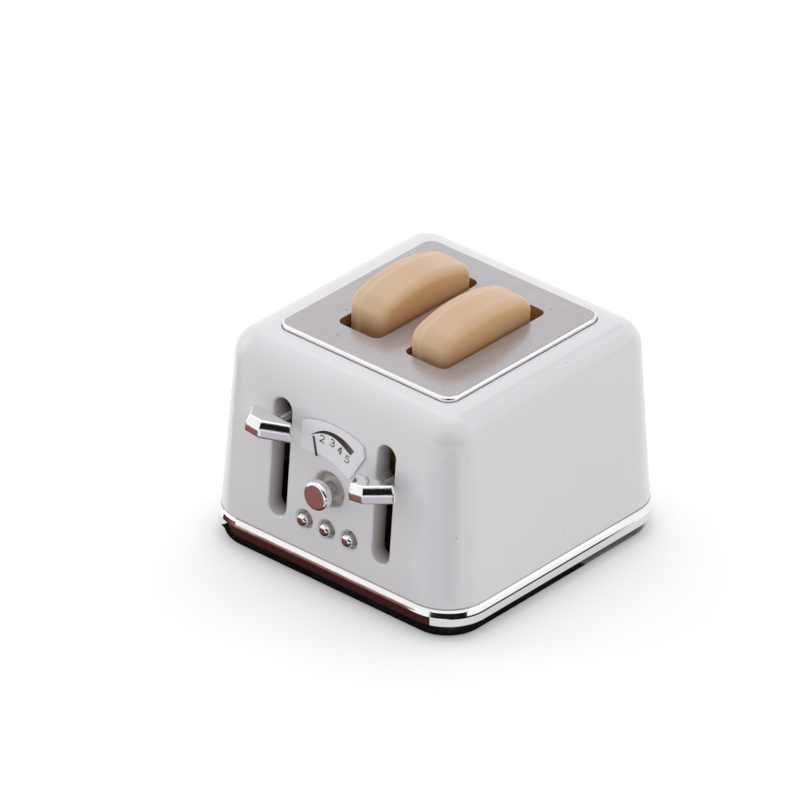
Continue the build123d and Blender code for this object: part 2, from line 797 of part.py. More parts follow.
with BuildPart() as button_bar:
    with BuildSketch(on_front(controls_x, button_z, bar_inward)):
        with Locations((0, bar_rise)):
            RectangleRounded(bar_length, bar_height, bar_corner_radius)
        with GridLocations(button_spacing, 0, len(buttons_x), 1):
            Circle(button_tail_radius + button_play, mode=Mode.SUBTRACT)
        with Locations(*bar_posts):
            Circle(small_screw_radius + hole_gap, mode=Mode.SUBTRACT)
    extrude(amount=-bar_thickness)

button_bar.part.label = "button_bar"
export_step(button_bar.part, "parts/button_bar.step")

with BuildPart() as bar_screws:
    with BuildSketch(on_front(controls_x, button_z, bar_inward + bar_thickness)):
        with Locations(*bar_posts):
            Circle(small_screw_radius)
    extrude(amount=small_screw_length)
    with BuildSketch(on_front(controls_x, button_z, bar_inward + bar_thickness)):
        with Locations(*bar_posts):
            Circle(small_screw_head_radius)
    extrude(amount=-small_screw_head_height)

bar_screws.part.label = "bar_screws"
export_step(bar_screws.part, "parts/bar_screws.step")

# ================================================================ trim band, base and its screws
with BuildPart() as trim_band:
    with BuildSketch(Plane.XY.offset(base_height)):
        RectangleRounded(
            2 * trim_half, 2 * trim_half, body_corner_radius + trim_overhang
        )
    extrude(amount=trim_height - trim_bevel_height)
    extrude(
        trim_band.faces().sort_by(Axis.Z)[-1],
        amount=trim_bevel_height,
        taper=degrees(atan(trim_overhang / trim_bevel_height)),
    )
    with BuildSketch(Plane.XY.offset(base_height)):
        RectangleRounded(
            2 * (spigot_half + fit_gap),
            2 * (spigot_half + fit_gap),
            spigot_radius + fit_gap,
        )
    extrude(amount=trim_height, mode=Mode.SUBTRACT)

trim_band.part.label = "trim_band"
export_step(trim_band.part, "parts/trim_band.step")

with BuildPart() as base_plate:
    with BuildSketch():
        RectangleRounded(
            2 * base_half, 2 * base_half, body_corner_radius + trim_overhang - base_inset
        )
    extrude(amount=base_height)
    fillet(base_plate.faces().sort_by(Axis.Z)[0].edges(), base_edge_radius)
    with BuildSketch(Plane.XY.offset(base_height)):
        RectangleRounded(2 * spigot_half, 2 * spigot_half, spigot_radius)
        RectangleRounded(
            2 * (spigot_half - spigot_wall),
            2 * (spigot_half - spigot_wall),
            spigot_radius - spigot_wall,
            mode=Mode.SUBTRACT,
        )
        with base_screws_at:
            Circle(base_post_radius)
    extrude(amount=spigot_height)
    with BuildSketch():
        with base_screws_at:
            Circle(base_screw_radius + hole_gap)
    extrude(amount=spigot_top, mode=Mode.SUBTRACT)
    with BuildSketch():
        with base_screws_at:
            Circle(base_screw_head_radius + hole_gap)
    extrude(amount=base_screw_recess, mode=Mode.SUBTRACT)
    with BuildSketch(Plane.XY.offset(base_height)):
        with Locations(*[(x, rod_y) for x in rods_x]):
            Circle(rod_radius + thread_gap)
    extrude(amount=-rod_socket, mode=Mode.SUBTRACT)

base_plate.part.label = "base_plate"
export_step(base_plate.part, "parts/base_plate.step")

with BuildPart() as base_screws:
    with BuildSketch(Plane.XY.offset(base_screw_recess)):
        with base_screws_at:
            Circle(base_screw_radius)
    extrude(amount=base_screw_length)
    with BuildSketch(Plane.XY.offset(base_screw_recess)):
        with base_screws_at:
            Circle(base_screw_head_radius)
    extrude(amount=-base_screw_head_height)

base_screws.part.label = "base_screws"
export_step(base_screws.part, "parts/base_screws.step")
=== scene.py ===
from math import atan2, cos, degrees, pi, radians, sin, sqrt, tan

import bmesh
import bpy
from mathutils import Matrix, Vector


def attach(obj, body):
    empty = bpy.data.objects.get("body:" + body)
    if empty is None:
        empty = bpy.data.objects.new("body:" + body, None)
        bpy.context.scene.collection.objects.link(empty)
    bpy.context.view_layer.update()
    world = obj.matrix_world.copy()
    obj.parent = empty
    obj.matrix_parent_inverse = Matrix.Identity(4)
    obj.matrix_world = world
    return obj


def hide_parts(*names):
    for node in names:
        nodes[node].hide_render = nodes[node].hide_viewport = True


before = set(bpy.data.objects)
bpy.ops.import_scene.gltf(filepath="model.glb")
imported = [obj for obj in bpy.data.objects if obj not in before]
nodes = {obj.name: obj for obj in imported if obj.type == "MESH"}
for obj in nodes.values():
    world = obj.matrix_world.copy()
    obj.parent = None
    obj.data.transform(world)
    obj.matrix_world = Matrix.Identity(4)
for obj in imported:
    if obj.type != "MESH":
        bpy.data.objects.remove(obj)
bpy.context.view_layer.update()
MM = 0.001

# ------------------------------------------------------------------ sizes, in millimetres
DRAFT = radians(4.12)          # how far the shell's sides lean in
SHELL_BOTTOM = 3.15
SHELL_HALF = 14.55             # half the shell's width at its bottom
KNOB_Z = 9.95
DIAL_PROUD = 0.2
PRINT_PROUD = 0.008            # the print above the dial
PLATE_TOP = 21.3
SLOT_X = 3.86                  # from the middle to each bread slot's middle
RIDGE_X = -0.62                # the slices' parting line, left of their middle

# where a piece's colour changes, for its finish and for painted light and shade, each from a low limit
# to a high one
# the front's cut-outs, where shade is painted into the knob and button recesses and the lever slots
CUTS_Z = (4.6, 17.4)           # the front's cut-outs
CUTS_DEPTH = (0.16, 2.6)       # measured back from the front face
RECESSES_X = (-1.0, 4.6)       # knob and buttons, either side of the middle
LEVER_SLOTS_X = (4.75, 7.4)
# on the plate: the bread slots' sides carry a painted reflection of the bread
BREAD_SLOTS_X = (-6.9, 6.9)
BREAD_SLOTS_Y = (-7.4, 8.0)
SLOT_SIDES_Z = (18.0, 21.26)
# the plate's rim, paler and mirror-like as a painted highlight
PLATE_EDGE_Z = (20.0, 21.28)
# painted shade in the seam between the trim and the shell
SEAM_Z = (3.02, 3.3)           # between the trim and the shell
# a painted dark reflection along the crease between the trim's facets
CREASE_X = (13.6, 20.0)        # between the trim's two facets, on the right side
CREASE_Y = (-20.0, 5.5)
CREASE_Z = (2.24, 2.37)
# the trim's lower facet, painted dimmer and greyer as shade
LOWER_FACET_Z = (1.0, 2.24)
ROLLED_Z = (2.76, 3.14)        # the trim's upper edge, rolled in towards the shell
# painted shade low on the slices' sides
SIDE_SHADE_Z = (20.6, 24.4)         # brown to golden up the slices' sides
# painted light on the slices' ends
END_LIGHT_Z = (21.0, 23.4)      # the slices' ends, paler towards the crown
PALE_RIM = (-0.45, -0.02)      # beside the slices' parting line
RIDGE_LINE = (0.0, 0.05)
PRINT_LEFT_X = (-2.2, -1.5)    # where the dial's print thins at its ends
PRINT_RIGHT_X = (1.2, 2.5)
# painted shade that deepens into the lever slots' walls
SLOT_SHADE = (0.1, 1.8)        # the lever slots' walls, browner with depth


def skin(z):
    """Half width of the leaning shell at height z."""
    return SHELL_HALF - (z - SHELL_BOTTOM) * tan(DRAFT)


def face_point(x, rise, out=0.0):
    """A point on the leaning front face, measured from the knob's centre, in metres."""
    y = -skin(KNOB_Z) + rise * sin(DRAFT) - out * cos(DRAFT)
    z = KNOB_Z + rise * cos(DRAFT) + out * sin(DRAFT)
    return Vector((x, y, z)) * MM


# ------------------------------------------------------------------ material helpers
MIX_FACTOR, MIX_A, MIX_B, MIX_RESULT = 0, 6, 7, 2      # a colour mix node's sockets


class Nodes:
    """A short way to write a Principled material with node-made variation."""

    def __init__(self, name, **inputs):
        self.mat = bpy.data.materials.new(name)
        self.mat.use_nodes = True
        self.tree = self.mat.node_tree
        self.bsdf = self.tree.nodes["Principled BSDF"]
        self.coords = self.add("ShaderNodeTexCoord").outputs["Object"]
        for key, value in inputs.items():
            self.bsdf.inputs[key.replace("_", " ")].default_value = value

    def add(self, kind, **values):
        node = self.tree.nodes.new(kind)
        for key, value in values.items():
            setattr(node, key, value)
        return node

    def link(self, source, target):
        self.tree.links.new(source, target)

    def set(self, **inputs):
        for key, source in inputs.items():
            self.link(source, self.bsdf.inputs[key.replace("_", " ")])

    def axis(self, vector=None):
        """The x, y and z of a vector, or of the place on the object."""
        node = self.add("ShaderNodeSeparateXYZ")
        self.link(vector or self.coords, node.inputs[0])
        return node.outputs

    def scaled(self, scale):
        mapping = self.add("ShaderNodeMapping")
        mapping.inputs["Scale"].default_value = scale
        self.link(self.coords, mapping.inputs["Vector"])
        return mapping.outputs["Vector"]

    def noise(self, scale, detail=3.0, roughness=0.5, vector=None):
        node = self.add("ShaderNodeTexNoise")
        node.inputs["Scale"].default_value = scale
        node.inputs["Detail"].default_value = detail
        node.inputs["Roughness"].default_value = roughness
        self.link(vector or self.coords, node.inputs["Vector"])
        return node.outputs["Fac"]

    def math(self, operation, a, b=0.0, c=0.0, clamp=False):
        node = self.add("ShaderNodeMath", operation=operation, use_clamp=clamp)
        for place, value in enumerate((a, b, c)):
            if isinstance(value, (int, float)):
                node.inputs[place].default_value = value
            else:
                self.link(value, node.inputs[place])
        return node.outputs[0]

    def times(self, a, b):
        return self.math("MULTIPLY", a, b)

    def remap(self, source, low, high, to_low=0.0, to_high=1.0):
        node = self.add("ShaderNodeMapRange")
        for key, value in zip(
            ("From Min", "From Max", "To Min", "To Max"), (low, high, to_low, to_high)
        ):
            node.inputs[key].default_value = value
        self.link(source, node.inputs["Value"])
        return node.outputs["Result"]

    def fade(self, source, limits, to_low=0.0, to_high=1.0):
        """A value that changes between two limits in millimetres."""
        low, high = limits
        return self.remap(source, low * MM, high * MM, to_low, to_high)

    def ramp(self, source, stops):
        """A colour that changes along a source, from (place, colour) stops."""
        node = self.add("ShaderNodeValToRGB")
        elements = node.color_ramp.elements
        while len(elements) < len(stops):
            elements.new(0.5)
        for element, (place, colour) in zip(elements, stops):
            element.position = place
            element.color = (*colour, 1)
        self.link(source, node.inputs["Fac"])
        return node.outputs["Color"]

    def mix(self, factor, a, b):
        """Colour a where the factor is 0, and colour b where it is 1."""
        node = self.add("ShaderNodeMix", data_type="RGBA")
        for place, value in ((MIX_FACTOR, factor), (MIX_A, a), (MIX_B, b)):
            socket = node.inputs[place]
            if isinstance(value, (int, float)):
                socket.default_value = value
            elif isinstance(value, tuple):
                socket.default_value = (*value, 1)
            else:
                self.link(value, socket)
        return node.outputs[MIX_RESULT]

    def band(self, value, limits, soft):
        """1 between two limits in millimetres, with soft edges."""
        low, high = limits
        rise = self.fade(value, (low - soft, low))
        fall = self.fade(value, (high, high + soft), 1.0, 0.0)
        return self.times(rise, fall)

    def bump(self, height, strength, depth, after=None):
        """A relief that is up to a depth in millimetres high."""
        node = self.add("ShaderNodeBump")
        node.inputs["Strength"].default_value = strength
        node.inputs["Distance"].default_value = depth * MM
        self.link(height, node.inputs["Height"])
        if after:
            self.link(after, node.inputs["Normal"])
        return node.outputs["Normal"]

    def rough(self, source, low, high):
        """A roughness that wavers between two values."""
        return self.remap(source, 0.3, 0.7, low, high)

    def specks(self, scale, size, share):
        """1 in small scattered round specks, 0 elsewhere."""
        cells = self.add("ShaderNodeTexVoronoi", feature="F1")
        cells.inputs["Scale"].default_value = scale
        self.link(self.coords, cells.inputs["Vector"])
        near = self.math("LESS_THAN", cells.outputs["Distance"], size)
        pick = self.axis(cells.outputs["Color"])[0]
        chosen = self.math("LESS_THAN", pick, share)
        return self.times(near, chosen)


# ------------------------------------------------------------------ materials
def gloss_shell():
    """Glossy white plastic with painted shade in its cut-outs, turning taupe towards the inside."""
    m = Nodes("shell_white", Roughness=0.22, IOR=1.5, Coat_Weight=0.35, Coat_Roughness=0.06)
    base = m.ramp(m.noise(90, 2), [(0.3, (0.800, 0.785, 0.815)), (0.7, (0.822, 0.810, 0.842))])
    dust = m.specks(900, 0.09, 0.035)
    base = m.mix(m.times(dust, 0.45), base, (0.32, 0.29, 0.27))
    x, y, z = m.axis()
    face_y = m.math(
        "MULTIPLY_ADD", z, tan(DRAFT), -(SHELL_HALF + SHELL_BOTTOM * tan(DRAFT)) * MM
    )
    depth = m.math("SUBTRACT", y, face_y)
    across = m.math("ABSOLUTE", x)
    cut = m.times(m.band(z, CUTS_Z, 0.05), m.band(depth, CUTS_DEPTH, 0.1))
    recess_shade = m.times(cut, m.band(across, RECESSES_X, 0.1))
    slot_wall_shade = m.times(cut, m.band(across, LEVER_SLOTS_X, 0.1))
    deeper_shade = m.math("POWER", m.fade(depth, SLOT_SHADE), 1.9)
    # painted shade: recess floors a little darker and taupe, lever-slot walls darker taupe with depth
    base = m.mix(recess_shade, base, (0.70, 0.67, 0.635))
    base = m.mix(m.times(slot_wall_shade, deeper_shade), base, (0.32, 0.23, 0.185))
    m.set(
        Base_Color=base,
        Roughness=m.rough(m.noise(260, 4), 0.17, 0.27),
        Normal=m.bump(m.noise(420, 2), 0.10, 0.02),
    )
    return m.mat


def polishing_marks(m):
    """Swirled scratches: fine arcs bent by a slow noise."""
    swirl = m.add("ShaderNodeTexNoise")
    swirl.inputs["Scale"].default_value = 210
    swirl.inputs["Detail"].default_value = 1.0
    m.link(m.coords, swirl.inputs["Vector"])
    spread = m.add("ShaderNodeVectorMath", operation="SCALE")
    spread.inputs["Scale"].default_value = 3.2
    m.link(swirl.outputs["Color"], spread.inputs[0])
    bent = m.add("ShaderNodeVectorMath", operation="ADD")
    m.link(m.scaled((1500, 420, 900)), bent.inputs[0])
    m.link(spread.outputs[0], bent.inputs[1])
    return m.noise(2.2, 3, 0.6, vector=bent.outputs[0])


def plate_steel():
    """Satin sheet with fine marks, a paler mirror-like rim as a painted highlight, and the slots' sides
    painted with the bread's brown reflection.
    """
    m = Nodes("plate_steel")
    base = m.ramp(
        m.noise(140, 4, 0.6), [(0.3, (0.475, 0.452, 0.475)), (0.7, (0.510, 0.488, 0.510))]
    )
    marks = polishing_marks(m)
    base = m.mix(m.remap(marks, 0.52, 0.72, 0.0, 0.35), base, (0.62, 0.60, 0.62))
    pits = m.math("MAXIMUM", m.specks(520, 0.08, 0.09), m.specks(1300, 0.14, 0.08))
    base = m.mix(m.times(pits, 0.75), base, (0.09, 0.075, 0.075))
    x, y, z = m.axis()
    middle = m.times(m.band(x, BREAD_SLOTS_X, 0.05), m.band(y, BREAD_SLOTS_Y, 0.05))
    # painted reflection of the bread on the slots' sides
    bread_reflection = m.times(middle, m.band(z, SLOT_SIDES_Z, 0.03))
    # painted highlight: the rim paler, fully metallic and smoother
    edge_highlight = m.times(m.math("SUBTRACT", 1.0, middle), m.band(z, PLATE_EDGE_Z, 0.012))
    base = m.mix(bread_reflection, base, (0.56, 0.30, 0.155))
    m.set(
        Base_Color=m.mix(edge_highlight, base, (0.93, 0.92, 0.93)),
        Metallic=m.math("MAXIMUM", edge_highlight, m.remap(bread_reflection, 0.0, 1.0, 0.5, 0.35)),
        Roughness=m.times(m.rough(marks, 0.15, 0.27), m.remap(edge_highlight, 0.0, 1.0, 1.0, 0.4)),
        Normal=m.bump(marks, 0.16, 0.012),
    )
    return m.mat


def chrome(name, wave, wave_scale=380, rough=(0.03, 0.09), soften=0.0):
    """Bright plating with a slight wave, which rounds the edges by soften, in millimetres."""
    m = Nodes(name, Metallic=1.0)
    base = m.ramp(m.noise(300, 3), [(0.3, (0.86, 0.855, 0.86)), (0.7, (0.895, 0.89, 0.895))])
    m.base = m.mix(m.times(m.specks(1500, 0.12, 0.02), 0.7), base, (0.06, 0.055, 0.05))
    rounded = None
    if soften:
        edges = m.add("ShaderNodeBevel", samples=8)
        edges.inputs["Radius"].default_value = soften * MM
        rounded = edges.outputs["Normal"]
    m.relief = m.bump(m.noise(wave_scale, 2), wave, 0.05, after=rounded)
    m.set(
        Base_Color=m.base,
        Roughness=m.remap(m.noise(700, 3), 0.35, 0.75, *rough),
        Normal=m.relief,
    )
    return m


def trim_chrome():
    """Chrome with painted shade in the seam under the shell, a painted dark reflection in the side's
    crease and a dimmer lower facet as painted shade.
    """
    m = chrome("trim_chrome", 0.03, rough=(0.02, 0.05))
    x, y, z = m.axis()
    # painted shade in the seam under the shell
    seam_shade = m.times(m.band(z, SEAM_Z, 0.05), 0.85)
    # painted dark reflection along the right side's crease
    crease_dark_reflection = m.times(m.band(z, CREASE_Z, 0.03), m.band(x, CREASE_X, 0.4))
    crease_dark_reflection = m.times(crease_dark_reflection, m.band(y, CREASE_Y, 4.5))
    # painted shade: the lower facet dimmer and greyer than the rest of the chrome
    lower_facet_shade = m.times(m.band(z, LOWER_FACET_Z, 0.05), 0.8)
    base = m.mix(lower_facet_shade, m.base, (0.70, 0.69, 0.73))
    base = m.mix(seam_shade, base, (0.26, 0.21, 0.19))
    rolled = m.fade(z, ROLLED_Z, 1.0, 0.0)
    m.set(
        Base_Color=m.mix(crease_dark_reflection, base, (0.02, 0.02, 0.02)),
        Normal=m.bump(rolled, 1.0, 0.18, after=m.relief),
    )
    return m.mat


def base_black():
    """Glossy black plastic with a little dust."""
    m = Nodes("base_black", Coat_Weight=0.3)
    base = m.ramp(m.noise(200, 3), [(0.3, (0.008, 0.007, 0.008)), (0.8, (0.016, 0.014, 0.015))])
    dust = m.specks(1100, 0.10, 0.05)
    m.set(
        Base_Color=m.mix(m.times(dust, 0.5), base, (0.25, 0.22, 0.2)),
        Roughness=m.rough(m.noise(350, 4), 0.12, 0.26),
        Normal=m.bump(m.noise(500, 2), 0.08, 0.02),
    )
    return m.mat


def bread_resin():
    """Waxy soft resin: golden sides with painted shade that browns them towards the slot, ends painted
    paler as light, under a paler crown.
    """
    m = Nodes(
        "bread_resin", IOR=1.46, Subsurface_Weight=0.5,
        Subsurface_Radius=(1.0, 0.55, 0.22), Subsurface_Scale=0.8 * MM,
    )
    x, _, z = m.axis()
    # painted shade: the sides brown towards the slot, golden higher up
    side = m.ramp(
        m.fade(z, SIDE_SHADE_Z),
        [(0.05, (0.37, 0.185, 0.082)), (0.22, (0.50, 0.270, 0.120)),
         (0.55, (0.70, 0.420, 0.195)), (0.95, (0.80, 0.530, 0.270))],
    )
    crown = m.ramp(
        m.noise(170, 3, 0.55), [(0.30, (0.675, 0.465, 0.300)), (0.72, (0.725, 0.520, 0.350))]
    )
    normal = m.add("ShaderNodeNewGeometry").outputs["Normal"]
    _, facing_y, facing_z = m.axis(normal)
    # painted light: the ends paler, most towards the crown
    end_light = m.fade(z, END_LIGHT_Z, 0.2, 0.95)
    ends = m.times(m.remap(m.math("ABSOLUTE", facing_y), 0.25, 0.9), end_light)
    side = m.mix(ends, side, (0.86, 0.640, 0.390))
    base = m.mix(m.remap(facing_z, 0.25, 0.8), side, crown)
    # the parting line left of the middle, paler on its left
    middle = m.times(m.math("SIGN", x), SLOT_X * MM)
    local = m.math("SUBTRACT", m.math("SUBTRACT", x, middle), RIDGE_X * MM)
    base = m.mix(m.times(m.band(local, PALE_RIM, 0.25), 0.35), base, (0.80, 0.61, 0.44))
    base = m.mix(m.times(m.band(local, RIDGE_LINE, 0.08), 0.16), base, (0.50, 0.30, 0.16))
    dust = m.specks(800, 0.08, 0.04)
    grain = m.bump(m.noise(650, 3), 0.12, 0.02)
    m.set(
        Base_Color=m.mix(m.times(dust, 0.35), base, (0.25, 0.13, 0.06)),
        Roughness=m.rough(m.noise(240, 4), 0.30, 0.46),
        Normal=m.bump(m.band(local, (-0.02, 0.06), 0.1), 0.3, 0.03, after=grain),
    )
    return m.mat


def moulded(name, low, high, roughness):
    """Plain moulded plastic or rubber between two colours."""
    m = Nodes(name)
    m.set(
        Base_Color=m.ramp(m.noise(220, 3), [(0.3, low), (0.7, high)]),
        Roughness=m.rough(m.noise(500, 3), roughness - 0.08, roughness + 0.08),
        Normal=m.bump(m.noise(900, 2), 0.15, 0.02),
    )
    return m.mat


def drawn_steel():
    """Rods, springs and fasteners, streaked along z."""
    m = Nodes("drawn_steel", Metallic=1.0)
    streaks = m.noise(1.0, 4, 0.6, vector=m.scaled((4000, 4000, 300)))
    m.set(
        Base_Color=m.ramp(streaks, [(0.3, (0.50, 0.50, 0.51)), (0.7, (0.62, 0.61, 0.61))]),
        Roughness=m.rough(streaks, 0.18, 0.32),
        Normal=m.bump(streaks, 0.1, 0.01),
    )
    return m.mat


def guard_bread_bounce():
    """Stamped sheet coloured warm orange, a painted reflection of the bread's light inside the slots.
    """
    m = Nodes("guard_bread_bounce", Metallic=0.25)
    grain = m.noise(1.0, 4, 0.6, vector=m.scaled((900, 900, 4000)))
    m.set(
        Base_Color=m.ramp(grain, [(0.3, (0.66, 0.37, 0.17)), (0.7, (0.76, 0.44, 0.21))]),
        Roughness=m.rough(grain, 0.28, 0.42),
        Normal=m.bump(grain, 0.12, 0.01),
    )
    return m.mat


def dial_ink():
    """Dark print, thinner at the dial's two ends."""
    m = Nodes("dial_ink")
    x = m.axis()[0]
    left_end = m.fade(x, PRINT_LEFT_X, 0.8, 0.0)
    thin = m.math("MAXIMUM", m.fade(x, PRINT_RIGHT_X), left_end)
    patchy = m.times(thin, m.remap(m.noise(900, 3), 0.3, 0.7, 0.75, 1.1))
    m.set(
        Base_Color=m.mix(patchy, (0.020, 0.012, 0.013), (0.115, 0.105, 0.115)),
        Roughness=m.rough(m.noise(1200, 2), 0.34, 0.5),
        Normal=m.bump(m.noise(1500, 2), 0.1, 0.004),
    )
    return m.mat


BREAD = bread_resin()
INK = dial_ink()
finishes = {
    gloss_shell(): ["body_shell"],
    plate_steel(): ["top_plate"],
    chrome("chrome", 0.12).mat: [
        "control_knob", "left_button", "centre_button", "right_button",
    ],
    chrome("lever_chrome", 0.6, 620, soften=0.34).mat: ["left_lever_handle", "right_lever_handle"],
    trim_chrome(): ["trim_band"],
    base_black(): ["base_plate"],
    guard_bread_bounce(): [
        "left_inner_guard", "left_outer_guard", "right_inner_guard", "right_outer_guard",
        "front_end_plate", "rear_end_plate",
    ],
    moulded("bar_grey", (0.055, 0.052, 0.050), (0.075, 0.070, 0.066), 0.5): ["button_bar"],
    moulded("carriage_nylon", (0.20, 0.155, 0.12), (0.24, 0.19, 0.15), 0.42): [
        "left_carriage", "right_carriage",
    ],
    moulded("washer_grey", (0.60, 0.575, 0.54), (0.64, 0.615, 0.58), 0.42): ["knob_washer"],
    drawn_steel(): [
        "left_guide_rod", "right_guide_rod", "knob_push_nut", "left_button_spring",
        "centre_button_spring", "right_button_spring", "end_plate_screws", "bar_screws",
        "base_screws",
    ],
    moulded("ring_rubber", (0.018, 0.018, 0.018), (0.03, 0.03, 0.03), 0.7): [
        "left_drag_ring", "right_drag_ring",
    ],
    moulded("label_white", (0.885, 0.865, 0.905), (0.91, 0.895, 0.93), 0.34): ["dial_label"],
    BREAD: ["left_toast", "right_toast"],
}
for material, names in finishes.items():
    for name in names:
        nodes[name].data.materials.clear()
        nodes[name].data.materials.append(material)


# ------------------------------------------------------------------ mesh helpers
def new_object(name, data):
    obj = bpy.data.objects.new(name, data)
    bpy.context.scene.collection.objects.link(obj)
    return obj


def new_mesh(name, points, faces, material):
    mesh = bpy.data.meshes.new(name)
    mesh.from_pydata([tuple(p) for p in points], [], faces)
    mesh.materials.append(material)
    return mesh


def toy_piece(name, points, faces, material, body, smooth=True):
    """A piece of the toy that rides on a CAD body."""
    mesh = new_mesh(name, points, faces, material)
    fix = bmesh.new()
    fix.from_mesh(mesh)
    bmesh.ops.recalc_face_normals(fix, faces=fix.faces)
    fix.to_mesh(mesh)
    fix.free()
    for polygon in mesh.polygons:
        polygon.use_smooth = smooth
    obj = new_object(name, mesh)
    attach(obj, body)
    return obj


# ------------------------------------------------------------------ bread
LENGTH, HEIGHT, THICK = 11.9, 12.0, 4.4
CROWN, CORNER, EDGE = 14.7, 1.6, 0.85          # radii of the top, the corners and the rim
LEAN = radians(1.5)
MOULD_DRAFT = 0.055                            # each half narrows by this much per millimetre
RIM_HALF = 0.05                                # half the parting line's proud rim
SLICES = {                                     # the middle of each slice's underside
    "left": (-SLOT_X, 0.4, 12.664),
    "right": (SLOT_X, -0.35, 12.514),
}
BOTTOM_STEPS, END_STEPS, CORNER_STEPS, CROWN_STEPS, EDGE_STEPS = 14, 12, 9, 26, 10
TO_RIDGE = (0.15, 0.35, 0.6, 0.8, 0.93, 0.985, 1.0)      # rings, closer at the parting line
FROM_RIDGE = (0.015, 0.07, 0.2, 0.4, 0.7, 1.0)
CAP_SHARES = (0.75, 0.5, 0.25)                 # loops that shrink to the middle of a flat side


def arc(cx, cz, radius, start, end, steps):
    """Points and outward normals along an arc, angles in degrees."""
    out = []
    for step in range(steps + 1):
        angle = radians(start + (end - start) * step / steps)
        out.append(((cx + radius * cos(angle), cz + radius * sin(angle)), (cos(angle), sin(angle))))
    return out


def slice_outline():
    """The slice seen from the side, round all four corners, with its normals."""
    inner = LENGTH / 2 - CORNER
    crown_z = HEIGHT - CROWN
    top_z = crown_z + sqrt((CROWN - CORNER) ** 2 - inner**2)
    tilt = degrees(atan2(top_z - crown_z, inner))
    along_bottom = [-inner + 2 * inner * (k + 0.5) / BOTTOM_STEPS for k in range(BOTTOM_STEPS)]
    up_end = [CORNER + (top_z - CORNER) * (k + 0.5) / END_STEPS for k in range(END_STEPS)]
    points = [((y, 0.0), (0.0, -1.0)) for y in along_bottom]
    points += arc(inner, CORNER, CORNER, -90, 0, CORNER_STEPS)
    points += [((LENGTH / 2, z), (1.0, 0.0)) for z in up_end]
    points += arc(inner, top_z, CORNER, 0, tilt, CORNER_STEPS)
    points += arc(0, crown_z, CROWN, tilt, 180 - tilt, CROWN_STEPS)[1:-1]
    points += arc(-inner, top_z, CORNER, 180 - tilt, 180, CORNER_STEPS)
    points += [((-LENGTH / 2, z), (-1.0, 0.0)) for z in reversed(up_end)]
    points += arc(-inner, CORNER, CORNER, 180, 270, CORNER_STEPS)
    return points


def slice_rings():
    """Where each ring across the slice lies, and how far it is drawn in."""
    flat = THICK / 2 - EDGE
    turns = [pi / 2 * step / EDGE_STEPS for step in range(EDGE_STEPS + 1)]
    rings = [(-flat - EDGE * cos(turn), EDGE * (1 - sin(turn))) for turn in turns]
    rings += [(-flat + (RIDGE_X + flat) * share, 0.0) for share in TO_RIDGE]
    rings += [(RIDGE_X + (flat - RIDGE_X) * share, 0.0) for share in FROM_RIDGE]
    rings += [(flat + EDGE * sin(turn), EDGE * (1 - cos(turn))) for turn in turns[1:]]
    return rings


def draft(x):
    """How far a half of the mould has narrowed at x, away from the parting line."""
    away = abs(x - RIDGE_X)
    return MOULD_DRAFT * away if away > RIM_HALF else 0.0


def toast_slice(side):
    """A slice with rolled rims, a crowned top and a parting line, over its CAD solid."""
    origin = Vector(SLICES[side])
    along, rise = Vector((0, cos(LEAN), -sin(LEAN))), Vector((0, sin(LEAN), cos(LEAN)))
    outline, rings = slice_outline(), slice_rings()
    count = len(outline)
    points, faces = [], []

    def place(x, y, z):
        points.append((origin + Vector((x, 0, 0)) + along * y + rise * z) * MM)

    for x, inset in rings:
        pull = inset + draft(x)
        for (y, z), (ny, nz) in outline:
            place(x, y - ny * pull, max(z - nz * pull, 0.0))
    for ring in range(len(rings) - 1):
        for k in range(count):
            a, b = ring * count + k, ring * count + (k + 1) % count
            faces.append((a, b, b + count, a + count))
    for x, loop in ((rings[0][0], 0), (rings[-1][0], (len(rings) - 1) * count)):
        pull = EDGE + draft(x)
        for share in CAP_SHARES:
            start = len(points)
            for (y, z), (ny, nz) in outline:
                up_from_middle = z - nz * pull - HEIGHT / 2
                place(x, (y - ny * pull) * share, HEIGHT / 2 + up_from_middle * share)
            for k in range(count):
                after = (k + 1) % count
                faces.append((loop + k, loop + after, start + after, start + k))
            loop = start
        place(x, 0, HEIGHT / 2)
        for k in range(count):
            faces.append((loop + k, loop + (k + 1) % count, len(points) - 1))
    piece = toy_piece(side + "_slice", points, faces, BREAD, side + "_slice")
    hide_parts(side + "_toast")


for side in SLICES:
    toast_slice(side)

